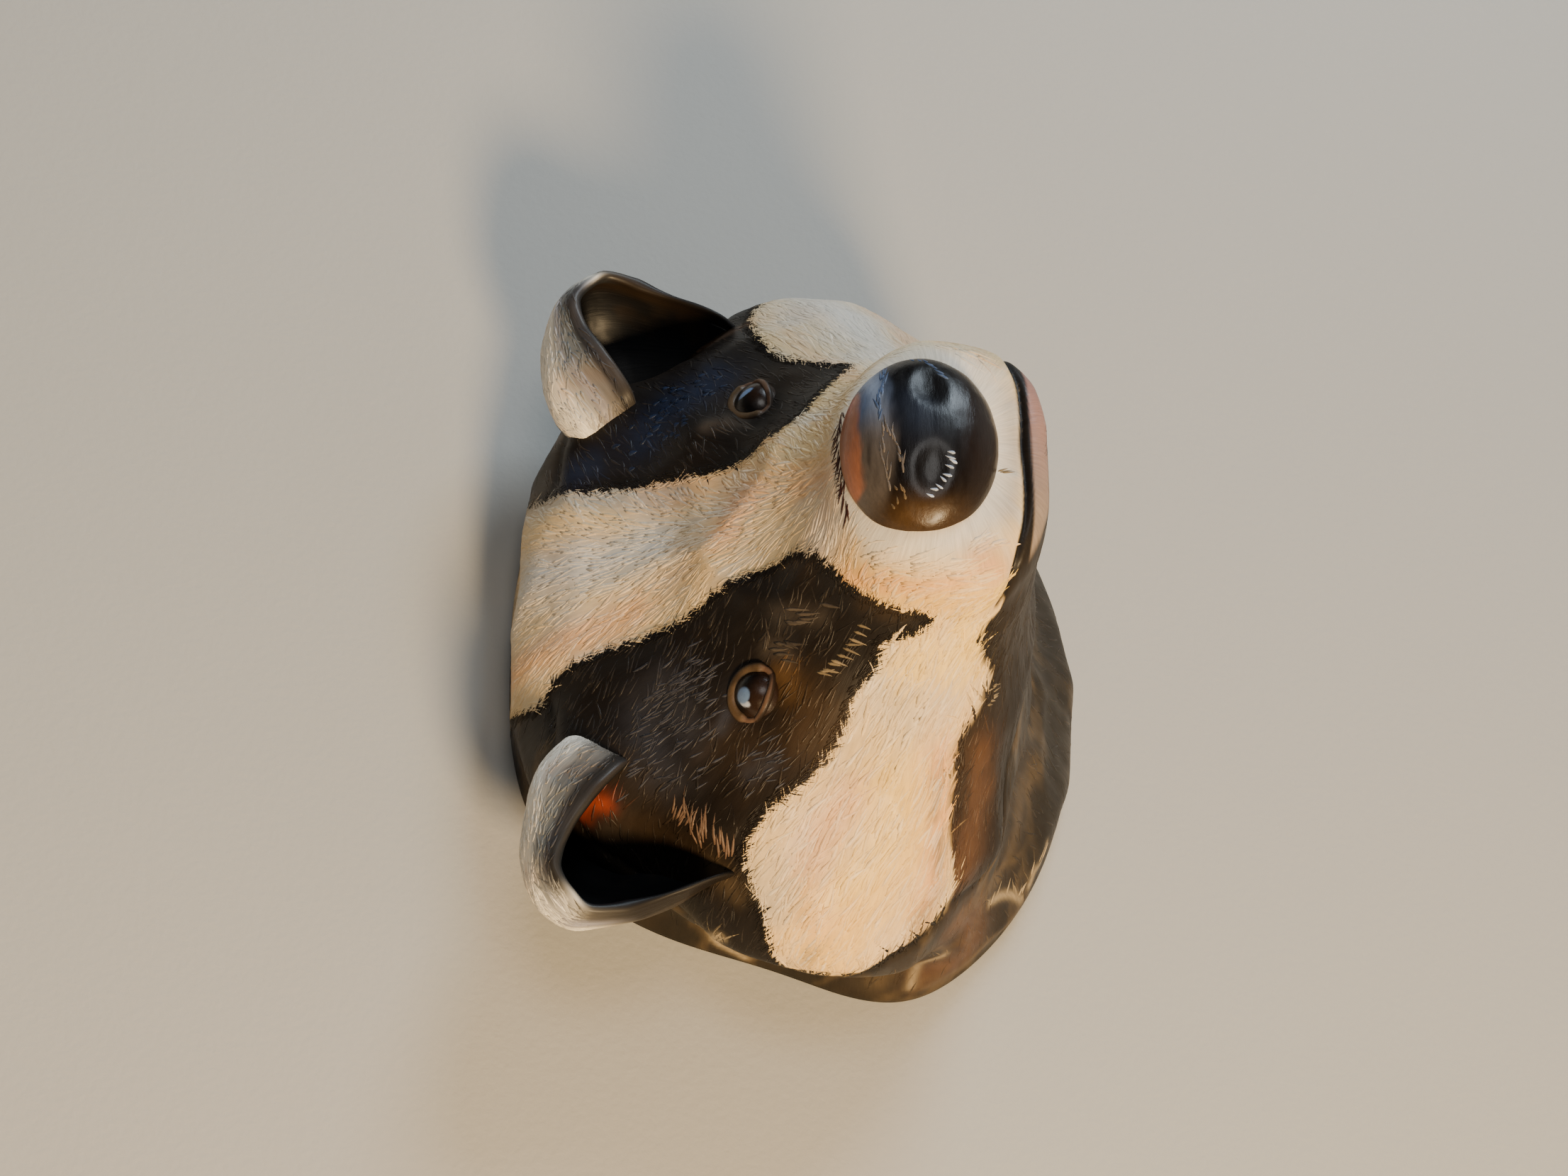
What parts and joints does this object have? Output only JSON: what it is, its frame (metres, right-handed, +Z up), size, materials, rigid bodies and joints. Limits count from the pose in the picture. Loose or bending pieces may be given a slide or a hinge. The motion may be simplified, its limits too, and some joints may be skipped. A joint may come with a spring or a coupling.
{
  "type": "badger head wall sculpture",
  "caption": "Painted papier-mache badger head that hangs on a wall, with cupped ears, long muzzle and flat back.",
  "frame": {"origin": "middle of the flat back, where it lies on the wall", "axes": "+Y into the wall, +Z up to the ears, +X to the right as seen from in front; the muzzle points along -Y"},
  "size_m": [0.2254, 0.1587, 0.1843],
  "materials": {
    "painted_papier_mache": "hand-painted and varnished, satin, gloss on the nose and eyes"
  },
  "bodies": {
    "root": {"badger_head": "painted_papier_mache"}
  },
  "joints": []
}
